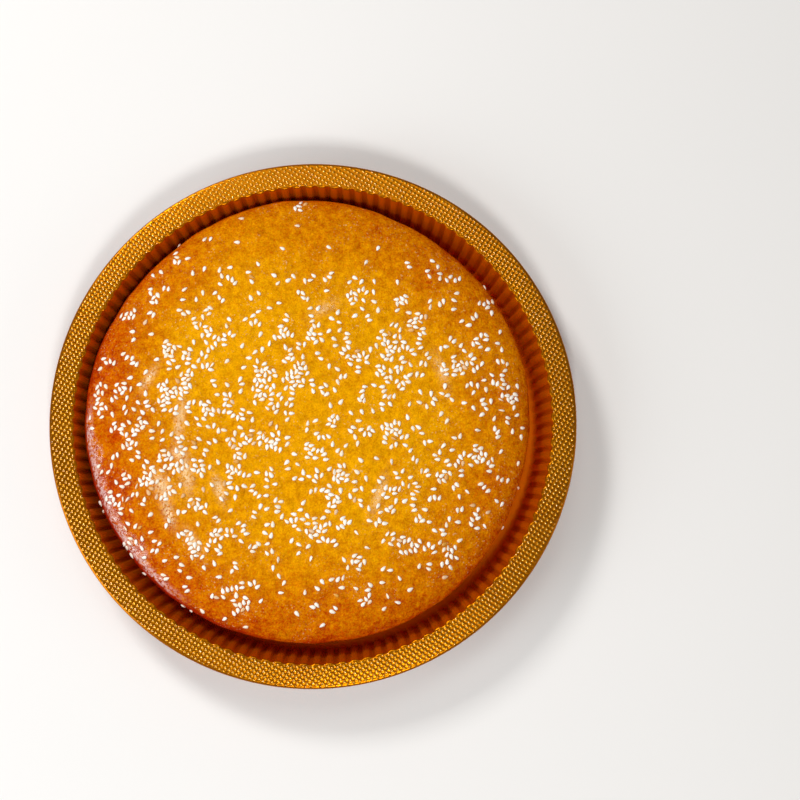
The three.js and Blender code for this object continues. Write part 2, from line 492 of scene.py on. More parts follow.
@dataclass(frozen=True)
class CrustFinish:
    """Egg-glazed baked crust: golden in the middle, red-brown where it rolls over."""

    golden: Colour = srgb(233, 162, 3)
    honey: Colour = srgb(222, 143, 2)
    amber: Colour = srgb(209, 119, 1)
    copper: Colour = srgb(199, 95, 1)
    russet: Colour = srgb(188, 68, 1)
    dark: Colour = srgb(170, 50, 1)
    # painted shade colour: the dark red of the crust's shaded rolled edge
    edge_shade_red: Colour = srgb(178, 30, 3)
    # painted highlight colour: the pale cream of painted glints on the glaze
    highlight_cream: Colour = srgb(248, 212, 158)
    # painted sheen colour: the pinkish white of a painted reflection on the glaze
    painted_sheen: Colour = srgb(246, 212, 206)
    clouds: Grain = Grain(24 * MM, 3, 0.42)
    freckles: Grain = Grain(1.4 * MM, 3, 0.75)
    flecks: Grain = Grain(0.8 * MM, 2, 0.65)
    puff_size: float = 4.2 * MM
    puff_detail: float = 4
    puff_tone: float = -0.65
    puff_light: float = 0.6
    light: float = 1.01
    sparkle: Grain = Grain(1.0 * MM, 3, 0.7)
    streak_glints: Patches = Patches(1.3 * MM, 4, 0.38, 0.53)
    glint_specks: Patches = Patches(1.1 * MM, 3, 0.62, 0.69)
    strewn: Patches = Patches(15 * MM, 2, 0.48, 0.62)
    glint_speck_share: float = 0.5
    cells: Patches = Patches(1.5 * MM, 3, 0.42, 0.58)
    pools: Patches = Patches(2.4 * MM, 4, 0.38, 0.56)
    crumb: Relief = Relief(1.1 * MM, 3, 0.5 * MM, 0.9)
    blister_size: float = 3.6 * MM
    blister_depth: float = 0.5 * MM
    blister_strength: float = 0.5
    skin: Relief = Relief(3.2 * MM, 3, 1.1 * MM, 0.6)
    wrinkles: Relief = Relief(1.3 * MM, 3, 0.8 * MM, 0.85)
    roughness: float = 0.5
    dullness: Grain = Grain(6 * MM, 3, 0.2)
    gloss: float = 0.004
    glaze_roughness: float = 0.13
    glaze_ior: float = 2.5

    def baked(self, shader: Shader, puffs: Socket) -> Socket:
        """The bake's colour, picked by the painted bake plus mottling, and shaded by finer noise.

        Args:
            shader: the material that is being made.
            puffs: noise of the size of the crust's low puffs.

        Returns:
            The colour.
        """
        tone = shader.painted("bake")
        for change in (
            shader.grain(self.clouds),
            shader.around(puffs, 0, self.puff_tone),
            shader.grain(self.freckles),
            shader.grain(self.flecks),
        ):
            tone = shader.maths("ADD", tone, change)
        colour = shader.ramp(tone, (
            (0.0, self.golden),
            (0.25, self.honey),
            (0.5, self.amber),
            (0.7, self.copper),
            (0.85, self.russet),
            (1.0, self.dark),
        ))
        lift = shader.around(puffs, 0, self.puff_light)
        light = shader.maths("ADD", shader.grain(self.sparkle, self.light), lift)
        return shader.shade(colour, light)

    def painted_highlights(self, shader: Shader) -> Socket:
        """Painted highlights: where the crust is painted pale as glints, in flakes on the brush
        streaks and in strewn specks.

        Args:
            shader: the material that is being made.

        Returns:
            The share, 0 to 1.
        """
        streak_glints = shader.maths("MULTIPLY", shader.patches(self.streak_glints), shader.painted("painted_highlights"))
        strewn = shader.patches(self.strewn)
        glint_specks = shader.maths("MULTIPLY", shader.patches(self.glint_specks), strewn)
        return shader.maths("MAXIMUM", streak_glints, shader.maths("MULTIPLY", glint_specks, self.glint_speck_share))

    def material(self) -> Material:
        """Colour from the painted bake with mottling over it, with painted highlights, painted
        sheen and painted edge shade mixed in, and wrinkles in the glaze.

        Returns:
            The material.
        """
        shader = Shader("glazed_crust")
        puffs = shader.noise(self.puff_size, self.puff_detail)
        # painted sheen: the shoulder's outer band is painted pinkish white, a painted reflection
        # of the left light
        sheen = shader.maths("MULTIPLY", shader.patches(self.cells), shader.painted("painted_sheen"))
        # painted highlights: pale cream glints mixed into the baked colour
        highlighted = shader.mix(self.painted_highlights(shader), self.baked(shader, puffs), self.highlight_cream)
        with_painted_highlight = shader.mix(sheen, highlighted, self.painted_sheen)
        blisters = shader.bump(
            shader.pits(self.blister_size),
            self.blister_depth,
            self.blister_strength,
            Normal=shader.relief(self.crumb),
        )
        skin = shader.relief(self.skin, Normal=blisters)
        pools = shader.patches(self.pools)
        drawn_out = shader.painted("wrinkle_place", vector=True)
        shader.set(
            # painted edge shade: dark red painted at the crust's very edge
            Base_Color=shader.mix(shader.painted("painted_edge_shade"), with_painted_highlight, self.edge_shade_red),
            Roughness=shader.grain(self.dullness, self.roughness),
            Specular_IOR_Level=self.gloss,
            Coat_Weight=shader.maths("MULTIPLY", shader.painted("glaze"), pools),
            Coat_Roughness=self.glaze_roughness,
            Coat_IOR=self.glaze_ior,
            Normal=skin,
            Coat_Normal=shader.relief(self.wrinkles, drawn_out, Normal=skin),
        )
        return shader.material


@dataclass(frozen=True)
class SesameFinish:
    """Hulled sesame: cream white, some ivory, a few toasted to gold."""

    white: Colour = srgb(255, 253, 244)
    # ivory: the seeds' own tone at random, and also painted shade on their undersides
    ivory: Colour = srgb(238, 198, 126)
    toasted: Colour = srgb(222, 156, 52)
    roughness: float = 0.42
    satin: Grain = Grain(0.8 * MM, 2, 0.2)
    husk: Relief = Relief(0.5 * MM, 2, 0.05 * MM, 0.5)

    def material(self) -> Material:
        """White on top, painted ivory towards the underside as painted shade, some ivory at
        random, a few toasted, with a faint satin grain.

        Returns:
            The material.
        """
        shader = Shader("sesame_seed")
        pale = shader.mix(shader.painted("tint"), self.white, self.ivory)
        shader.set(
            Base_Color=shader.mix(shader.painted("toast"), pale, self.toasted),
            Roughness=shader.grain(self.satin, self.roughness),
            Normal=shader.relief(self.husk),
        )
        return shader.material


@dataclass(frozen=True)
class GoldFinish:
    """Gold-metallised plastic sheet: bright dots, their tops painted pale as painted highlights,
    on darker gold, and duller where it is drawn.
    """

    gold: Colour = srgb(192, 118, 3)
    deep: Colour = srgb(172, 94, 2)
    # painted highlight colour: the pale gold painted on the domes' tops
    tip: Colour = srgb(228, 170, 46)
    drawn: Colour = srgb(228, 114, 3)
    # painted shade colour: the dark maroon painted into the flutes' grooves
    groove_shade: Colour = srgb(150, 22, 1)
    cloud_size: float = 18 * MM
    tip_highlight_start: float = 0.3
    tip_highlight_end: float = 0.85
    metal: float = 0.88
    drawn_metal: float = 0.66
    roughness: float = 0.3
    drawn_roughness: float = 0.42
    drift: Grain = Grain(7 * MM, 3, 0.12)
    ripple: Relief = Relief(3 * MM, 2, 0.08 * MM, 0.3)
    gloss: float = 0.05
    skin_full: float = 0.3
    skin_roughness: float = 0.05
    dome: float = 0.15 * MM
    lattice: Lattice = Lattice()

    def material(self) -> Material:
        """Metal, domed under a clear skin where the rim is embossed, with painted highlights on
        the domes' tops, redder where it is drawn, with painted shade in the flutes' grooves.

        Returns:
            The material.
        """
        shader = Shader("gold_sheet")
        dots = shader.maths("MULTIPLY", shader.domes(self.lattice), shader.painted("dotted"))
        drawn = shader.painted("drawn")
        flat = shader.mix(shader.noise(self.cloud_size), self.gold, self.deep)
        # painted highlight: the domes' tops are painted pale
        with_painted_highlight = shader.mix(shader.span(dots, self.tip_highlight_start, self.tip_highlight_end), flat, self.tip)
        # painted shade: the drawn wall is painted darker in its grooves
        drawn_with_groove_shade = shader.mix(shader.painted("groove_shade"), self.drawn, self.groove_shade)
        dull = shader.between(drawn, self.roughness, self.drawn_roughness)
        shader.set(
            Base_Color=shader.mix(drawn, with_painted_highlight, drawn_with_groove_shade),
            Metallic=shader.between(drawn, self.metal, self.drawn_metal),
            Roughness=shader.maths("ADD", dull, shader.grain(self.drift)),
            Specular_IOR_Level=self.gloss,
            Coat_Weight=shader.span(dots, 0, self.skin_full),
            Coat_Roughness=self.skin_roughness,
            Normal=shader.bump(dots, self.dome, Normal=shader.relief(self.ripple)),
            Coat_Normal=shader.bump(dots, self.dome),
        )
        return shader.material


@dataclass(frozen=True)
class FloorFinish:
    """A plain pale floor."""

    tone: Colour = srgb(246, 245, 243)
    cloud: Colour = srgb(242, 241, 239)
    cloud_size: float = 0.4
    roughness: float = 0.7

    def material(self) -> Material:
        """One even pale tone, barely clouded.

        Returns:
            The material.
        """
        shader = Shader("pale_floor")
        shader.set(
            Base_Color=shader.mix(shader.noise(self.cloud_size), self.tone, self.cloud),
            Roughness=self.roughness,
        )
        return shader.material


def dress(piece: Object, material: Material, node: str) -> None:
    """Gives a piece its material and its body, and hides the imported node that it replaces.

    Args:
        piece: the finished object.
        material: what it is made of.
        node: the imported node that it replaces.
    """
    piece.data.materials.append(material)
    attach(piece, "root")
    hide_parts(node)
    mesh = piece.data
    LOG.info("%s: %d vertices, %d faces", piece.name, len(mesh.vertices), len(mesh.polygons))


# ---- The cake ----


@dataclass(frozen=True)
class Wave:
    """One low wave of the cake's outline: how many lobes, how high, and where the first is."""

    count: int
    height: float
    turn: float


@dataclass(frozen=True)
class Swell:
    """One long swell of the cake's top: its length, height, heading and shift."""

    length: float
    height: float
    heading: float
    shift: float


@dataclass(frozen=True)
class Spot:
    """A round spot with soft edges: its place, its width and its depth, above or below zero."""

    x: float
    y: float
    width: float
    depth: float

    def share(self, x: Array, y: Array) -> Array:
        """The spot's depth at each place: a bell curve round its middle."""
        square = ((x - self.x) ** 2 + (y - self.y) ** 2) / self.width**2
        return self.depth * np.exp(-square)


@dataclass(frozen=True)
class Ripples:
    """Even random relief: its shortest and longest wave, its usual height and its seed."""

    shortest: float
    longest: float
    height: float
    seed: int
    count: int = 40

    def at(self, x: Array, y: Array) -> Array:
        """The relief: the sum of sine waves that run in all directions.

        Each wave is sin(2 pi (x cos h + y sin h) / length + phase). The sum is divided by the
        root of half the number of waves, so that its usual size is 1, and brought to height.

        Args:
            x: places across.
            y: places along.

        Returns:
            The relief at each place.
        """
        draw = np.random.default_rng(self.seed)
        relief = np.zeros(np.broadcast(x, y).shape)
        for heading, length, phase in zip(
            draw.uniform(0, math.pi, self.count),
            draw.uniform(self.shortest, self.longest, self.count),
            draw.uniform(0, TURN, self.count),
        ):
            along, _ = headed(x, y, heading)
            relief += np.sin(TURN * (along / length) + phase)
        return self.height * (relief / math.sqrt(self.count / 2))


@dataclass(frozen=True)
class CakeShape:
    """The form of the cake: a low dome over a rolled shoulder, tucked in at its flat base."""

    radius: float = 115.4 * MM
    place: tuple[float, float] = (-3.0 * MM, 1.8 * MM)
    base: float = 0.9 * MM
    widest: float = 18 * MM
    top_height: float = 34 * MM
    tuck: float = 9 * MM
    dome_power: float = 4.0
    shoulder_power: float = 0.42
    waves: tuple[Wave, ...] = (
        Wave(3, 0.29 * MM, -43),
        Wave(4, 0.46 * MM, 12),
        Wave(5, 0.48 * MM, 22),
    )
    swells: tuple[Swell, ...] = (
        Swell(96 * MM, 0.42 * MM, 25, 0.15),
        Swell(67 * MM, 0.30 * MM, 108, 0.6),
        Swell(49 * MM, 0.20 * MM, 63, 0.35),
    )
    dents: tuple[Spot, ...] = (
        Spot(-98 * MM, -10 * MM, 4 * MM, 0.7 * MM),
        Spot(-88 * MM, 48 * MM, 5 * MM, 0.35 * MM),
        Spot(-52 * MM, 20 * MM, 6 * MM, 0.3 * MM),
        Spot(36 * MM, -66 * MM, 6 * MM, 0.4 * MM),
        Spot(78 * MM, 40 * MM, 5 * MM, 0.5 * MM),
    )
    kinks: tuple[Wave, ...] = (
        Wave(17, 0.14 * MM, 205),
        Wave(29, 0.12 * MM, 209),
        Wave(43, 0.08 * MM, 214),
    )
    lumps: Ripples = Ripples(11 * MM, 30 * MM, 0.1 * MM, 3)
    ripples: Ripples = Ripples(5 * MM, 9 * MM, 0.1 * MM, 4)
    frame_step: float = 0.004
    least_share: float = 0.05

    def outline(self, azimuth: Array) -> Array:
        """The outline's radius: a circle plus a cosine for each wave.

        Args:
            azimuth: angles round the cake, in radians.

        Returns:
            The radius at each angle.
        """
        radius = np.full(np.shape(azimuth), self.radius)
        for wave in self.waves + self.kinks:
            turned = wave.count * (azimuth - math.radians(wave.turn))
            radius = radius + wave.height * np.cos(turned)
        return radius

    def relief(self, x: Array, y: Array) -> Array:
        """What is added to the dome's height at places measured from the cake's middle.

        It is the long swells, the dents as bell curves, and two scales of random ripples.

        Args:
            x: places across.
            y: places along.

        Returns:
            The height to add at each place.
        """
        height = np.zeros(np.shape(x))
        for swell in self.swells:
            along, _ = headed(x, y, math.radians(swell.heading))
            waves = along / swell.length + swell.shift
            height = height + swell.height * np.sin(TURN * waves)
        for dent in self.dents:
            height = height - dent.share(x, y)
        return height + self.lumps.at(x, y) + self.ripples.at(x, y)

    def top(self, azimuth: Array, share: Array) -> Array:
        """Points of the top at a share of the way out to the outline.

        The height is a superellipse: level = (1 - share^dome_power)^shoulder_power, and
        z = widest + level (top - widest + relief), so that the relief dies away at the side.

        Args:
            azimuth: angles round the cake, in radians.
            share: from 0 in the middle to 1 at the widest line.

        Returns:
            The points.
        """
        azimuth, share = np.broadcast_arrays(azimuth, share)
        radius = share * self.outline(azimuth)
        x = radius * np.cos(azimuth)
        y = radius * np.sin(azimuth)
        level = (1 - share**self.dome_power) ** self.shoulder_power
        height = self.widest + level * (self.top_height - self.widest + self.relief(x, y))
        return np.stack([self.place[0] + x, self.place[1] + y, height], axis=-1)

    def side(self, azimuth: Array, turn: float) -> Array:
        """Points of the side below the widest line: a quarter ellipse that tucks in to the base.

        Args:
            azimuth: angles round the cake, in radians.
            turn: from 0 at the widest line to a quarter turn at the base.

        Returns:
            The points.
        """
        radius = self.outline(azimuth) - self.tuck * (1 - math.cos(turn))
        height = self.widest - (self.widest - self.base) * math.sin(turn)
        return polar(radius, azimuth, height) + np.array([*self.place, 0])

    def frames(self, azimuth: Array, share: Array) -> tuple[Array, Array]:
        """Places on the top and the axes that lie along it there.

        Args:
            azimuth: angles round the cake, in radians.
            share: shares of the way out.

        Returns:
            The places, and for each a matrix whose columns run round, up the slope and out.
        """
        spot = self.top(azimuth, share)
        turn = self.frame_step / np.maximum(share, self.least_share)
        sideways = unit(self.top(azimuth + turn, share) - spot)
        inward = unit(self.top(azimuth, np.abs(share - self.frame_step)) - spot)
        out = unit(np.cross(sideways, inward))
        return spot, np.stack([sideways, np.cross(out, sideways), out], axis=-1)


def unit(vectors: Array) -> Array:
    """Vectors brought to length 1."""
    return vectors / np.linalg.norm(vectors, axis=-1, keepdims=True)


def tilt(points: Array, angle: Array, first: int, second: int) -> Array:
    """Turns each group of points in the plane of two axes.

    Args:
        points: groups of points.
        angle: one angle for each group, in radians.
        first: the axis that turns towards the second.
        second: the other axis.

    Returns:
        The turned points.
    """
    turned = points.copy()
    cosine, sine = np.cos(angle)[:, None], np.sin(angle)[:, None]
    turned[..., first] = points[..., first] * cosine - points[..., second] * sine
    turned[..., second] = points[..., first] * sine + points[..., second] * cosine
    return turned


@dataclass(frozen=True)
class Clump:
    """A heap of sesame: its place from the tray's middle, reach, count, stretch and heading."""

    x: float
    y: float
    reach: float
    count: int
    stretch: float = 1.0
    heading: float = 0.0


@dataclass(frozen=True)
class Seed:
    """A hulled sesame seed, and how much seeds differ in size, in slimness and in tilt."""

    length: float = 3.25 * MM
    width: float = 2.0 * MM
    thickness: float = 1.0 * MM
    pointedness: float = 0.75
    sections: int = 5
    sides: int = 8
    sunk: float = 0.22 * MM
    sizes: tuple[float, float] = (0.9, 1.08)
    slimness: tuple[float, float] = (0.86, 1.04)
    pitch_spread: float = 0.1
    roll_spread: float = 0.12
    tipped_share: float = 0.1
    tipped_spread: float = 0.6

    def template(self) -> Shell:
        """One seed, its point towards +X.

        Along the seed t runs from 0 at the point to pi: x = cos t half lengths, and the girth is
        sin t sin(t/2)^pointedness, brought to a most of 1. A section is an ellipse.

        Returns:
            The vertices, the quads and the triangles.
        """
        t = np.arange(1, self.sections + 1) * (math.pi / (self.sections + 1))
        girth = np.sin(t) * np.sin(t / 2) ** self.pointedness
        girth = girth / girth.max()
        turn = ring(self.sides)
        rings = [
            np.stack([
                np.full(self.sides, math.cos(at) * self.length / 2),
                thick * np.cos(turn) * self.width / 2,
                thick * np.sin(turn) * self.thickness / 2,
            ], axis=1)
            for at, thick in zip(t, girth)
        ]
        tip = np.array([self.length / 2, 0, 0])
        return ring_shell(tip, rings, -tip)

    def copies(self, vertices: Array, heading: Array, draw: Draw) -> Array:
        """Copies of a seed, each with a size, a slimness, a heading and a tilt of its own.

        Args:
            vertices: the seed's vertices.
            heading: the copies' headings.
            draw: the random numbers.

        Returns:
            The copies' vertices round their own places, sunk a little into the glaze.
        """
        count = len(heading)
        pitch = draw.normal(0, self.pitch_spread, count)
        roll = np.where(
            draw.random(count) < self.tipped_share,
            draw.normal(0, self.tipped_spread, count),
            draw.normal(0, self.roll_spread, count),
        )
        size = draw.uniform(*self.sizes, count)
        slim = draw.uniform(*self.slimness, count)
        stretch = np.stack([np.ones(count), slim, np.ones(count)], axis=1)
        local = vertices[None] * (size[:, None, None] * stretch[:, None])
        for angle, first, second in ((roll, 1, 2), (pitch, 2, 0), (heading, 0, 1)):
            local = tilt(local, angle, first, second)
        local[..., 2] += self.thickness / 2 - self.sunk
        return local


@dataclass(frozen=True)
class Sprinkle:
    """Where sesame falls on the cake: loose, in little heaps and in thick clumps."""

    shape: CakeShape
    loose: int = 1080
    little_heaps: int = 120
    heap_sizes: tuple[int, int] = (2, 5)
    heap_reach: float = 2.8 * MM
    edge: float = 0.965
    band_middle: float = -8 * MM
    band: float = 48 * MM
    fade: float = 62 * MM
    thinnest: float = 0.14
    apart: float = 2.45 * MM
    pushes: int = 14
    push_parts: float = 3
    clumps: tuple[Clump, ...] = (
        Clump(-109 * MM, 12 * MM, 2.6 * MM, 9, 2.6, 78),
        Clump(-97 * MM, 15 * MM, 3.4 * MM, 5),
        Clump(-84 * MM, 63 * MM, 3.4 * MM, 7, 1.6, 60),
        Clump(-44 * MM, 75 * MM, 3.0 * MM, 5),
        Clump(-70 * MM, 14 * MM, 3.4 * MM, 15, 2.4, -10),
        Clump(-72 * MM, 36 * MM, 3.0 * MM, 5),
        Clump(-65 * MM, -21 * MM, 3.2 * MM, 9, 1.6, 90),
        Clump(-104 * MM, -36 * MM, 3.0 * MM, 7, 1.6, 100),
        Clump(-75 * MM, -34 * MM, 3.2 * MM, 5),
        Clump(-54 * MM, -61 * MM, 3.4 * MM, 13, 2.2, 45),
        Clump(-94 * MM, -65 * MM, 3.0 * MM, 6, 1.8, -40),
        Clump(-37 * MM, -93 * MM, 2.6 * MM, 7),
        Clump(42 * MM, 40 * MM, 4.0 * MM, 10),
        Clump(70 * MM, -22 * MM, 3.6 * MM, 12, 2.0, 30),
        Clump(8 * MM, -30 * MM, 4.0 * MM, 10),
        Clump(102 * MM, 14 * MM, 3.0 * MM, 10, 2.2, 100),
        Clump(20 * MM, 66 * MM, 3.6 * MM, 7),
        Clump(52 * MM, -64 * MM, 3.6 * MM, 9, 2.0, -40),
        Clump(-8 * MM, 26 * MM, 4.0 * MM, 9),
    )

    def wanted(self, y: Array) -> Array:
        """The share of the fallen seeds that stay: all in a broad band, fewer beyond it."""
        past = np.maximum(0, np.abs(y - self.band_middle) - self.band) / self.fade
        return np.maximum(self.thinnest, 1 - past)

    def scatter(self, draw: Draw, count: int, reach: float) -> Array:
        """Places spread evenly over a disc, then thinned towards its near and far edge.

        Args:
            draw: the random numbers.
            count: how many places fall on the disc.
            reach: the disc's radius.

        Returns:
            The places that are kept.
        """
        places = reach * np.sqrt(draw.random(count))
        azimuth = draw.uniform(0, TURN, count)
        x, y = places * np.cos(azimuth), places * np.sin(azimuth)
        kept = draw.random(count) < self.wanted(y)
        return np.stack([x[kept], y[kept]], axis=1)

    def fall(self, draw: Draw) -> Array:
        """Where the seeds fall, as places measured from the cake's middle.

        Loose seeds fall evenly. Little heaps hold two to five. The clumps are bell-shaped, drawn
        out along their heading.

        Args:
            draw: the random numbers.

        Returns:
            The places, a few of them perhaps past the crust's edge.
        """
        reach = self.shape.radius * self.edge
        middles = self.scatter(draw, self.little_heaps, reach)
        sizes = draw.integers(*self.heap_sizes, len(middles), endpoint=True)
        heaps = np.repeat(middles, sizes, axis=0)
        heaps = heaps + draw.normal(0, self.heap_reach, heaps.shape)
        parts = [self.scatter(draw, self.loose, reach), heaps]
        for clump in self.clumps:
            along, across = draw.normal(0, clump.reach, (2, clump.count))
            spread = headed(along * clump.stretch, across, -math.radians(clump.heading))
            middle = np.array([clump.x, clump.y]) - self.shape.place
            parts.append(middle + np.stack(spread, axis=1))
        return np.concatenate(parts)

    def part(self, places: Array) -> Array:
        """Pushes places that are too close apart, a little at a time.

        In each round both of every pair that is nearer than the least distance move away from
        each other, each by a third of what is missing.

        Args:
            places: the seeds' places.

        Returns:
            The places after the pushing.
        """
        for _ in range(self.pushes):
            gap = places[:, None] - places[None]
            distance = np.linalg.norm(gap, axis=-1) + TINY
            lack = np.clip(self.apart - distance, 0, None)
            np.fill_diagonal(lack, 0)
            push = gap / distance[..., None] * lack[..., None] / self.push_parts
            places = places + push.sum(axis=1)
        return places


@dataclass
class Sesame:
    """All the seeds on the crust: how they lie, how they are turned and which are toasted."""

    shape: CakeShape
    finish: SesameFinish = SesameFinish()
    seed: Seed = Seed()
    random_seed: int = 11
    last_share: float = 0.993
    stray_share: float = 0.9985
    strays: tuple[float, ...] = (202.2, 204.3, 223.5, 236.6, 238.9, 126.7, 37, 331, 342)
    disc_place: float = 0.24
    disc_radius: float = 0.48
    neighbours: int = 5
    headings: int = 8
    turning_rounds: int = 4
    turning_share: float = 0.5
    ivory_most: float = 0.35
    underside_shade_start: float = 0.3
    underside_shade_slope: float = 1.6
    toasted_share: float = 0.03
    toasted_least: float = 0.4

    def turns(self, places: Array, draw: Draw) -> Array:
        """How each seed is turned, so that it lies as clear of its neighbours as it can.

        A seed counts as two discs on its long axis. Of some headings each seed takes the one
        whose discs overlap its nearest neighbours' least, in rounds in which about half of the
        seeds may turn.

        Args:
            places: the seeds' places.
            draw: the random numbers.

        Returns:
            A heading for each seed, in radians.
        """
        count = len(places)
        heading = draw.uniform(0, TURN, count)
        distance = np.linalg.norm(places[:, None] - places[None], axis=-1)
        np.fill_diagonal(distance, math.inf)
        near = np.argsort(distance, axis=1)[:, :self.neighbours]
        ends = np.array([-1, 1]) * (self.disc_place * self.seed.length)
        disc = self.disc_radius * self.seed.width

        def discs(centre: Array, angle: Array) -> Array:
            """The two discs' middles for seeds at centre, turned by angle."""
            way = np.stack([np.cos(angle), np.sin(angle)], axis=-1)
            return centre[..., None, :] + ends[:, None] * way[..., None, :]

        for _ in range(self.turning_rounds):
            tries = heading[:, None] + np.arange(self.headings) * (math.pi / self.headings)
            mine = discs(places[:, None], tries)
            theirs = discs(places, heading)[near]
            gap = mine[:, :, None, :, None] - theirs[:, None, :, None]
            lack = np.clip(2 * disc - np.linalg.norm(gap, axis=-1), 0, None)
            best = tries[np.arange(count), (lack**2).sum(axis=(2, 3, 4)).argmin(axis=1)]
            heading = np.where(draw.random(count) < self.turning_share, best, heading)
        return heading

    def place(self, draw: Draw) -> tuple[Array, Array, Array]:
        """Where the seeds lie: those on the crust's top, then the strays on its very edge.

        Args:
            draw: the random numbers.

        Returns:
            The seeds' azimuths, their shares of the way out and their headings.
        """
        sprinkle = Sprinkle(self.shape)
        places = sprinkle.part(sprinkle.fall(draw))
        azimuth, distance = bearing(places)
        share = distance / self.shape.outline(azimuth)
        on_top = share < self.last_share
        azimuth, share = azimuth[on_top], share[on_top]
        heading = self.turns(places[on_top], draw) - azimuth - math.pi / 2
        return (
            np.concatenate([azimuth, np.radians(self.strays)]),
            np.concatenate([share, np.full(len(self.strays), self.stray_share)]),
            np.concatenate([heading, draw.uniform(0, TURN, len(self.strays))]),
        )

    def build(self) -> Array:
        """Strews the seeds: places, headings and tilts, then one copy of the seed for each.

        Returns:
            The seeds' places on the crust.
        """
        draw = np.random.default_rng(self.random_seed)
        azimuth, share, heading = self.place(draw)
        spot, axes = self.shape.frames(azimuth, share)
        vertices, quads, triangles = self.seed.template()
        local = self.seed.copies(vertices, heading, draw)
        world = np.einsum("nij,nvj->nvi", axes, local) + spot[:, None]
        count = len(spot)
        shift = np.arange(count)[:, None, None] * len(vertices)
        piece = smooth_object("sesame", (
            world.reshape(-1, 3),
            (quads[None] + shift).reshape(-1, 4),
            (triangles[None] + shift).reshape(-1, 3),
        ))
        tint = self.ivory_most * draw.random(count) ** 2
        toasted = draw.random(count) < self.toasted_share
        toast = toasted * draw.uniform(self.toasted_least, 1, count)
        # painted shade: ivory painted on each seed's underside, added to its own random ivory in
        # the tint
        husk = self.underside_shade_start - self.underside_shade_slope * vertices[:, 2] / self.seed.thickness
        paint(piece, "tint", (tint[:, None] + np.clip(husk, 0, 1)).ravel())
        paint(piece, "toast", np.repeat(toast, len(vertices)))
        dress(piece, self.finish.material(), "cake")
        LOG.info("%d seeds", count)
        return spot


@dataclass(frozen=True)
class Streak:
    """A brush stroke of thicker glaze, which is also painted pale as a highlight: its place, half
    length, half width, heading and depth.
    """

    x: float
    y: float
    length: float
    width: float
    heading: float
    depth: float = 1

    def share(self, x: Array, y: Array) -> Array:
        """How much of the streak there is at each place: a bell curve along and across it."""
        along, across = headed(x - self.x, y - self.y, math.radians(self.heading))
        return self.depth * np.exp(-(along / self.length) ** 2 - (across / self.width) ** 2)


@dataclass(frozen=True)
class Browning:
    """Browning towards the edge: where it rises, how far, and what the brown side adds."""

    rise: Fade
    plain: float
    brown: float
    sharpness: int = 1

    def at(self, share: Array, facing: Array) -> Array:
        """The rise with the way out, times plain + brown facing^sharpness."""
        return (self.plain + self.brown * facing**self.sharpness) * self.rise.at(share)


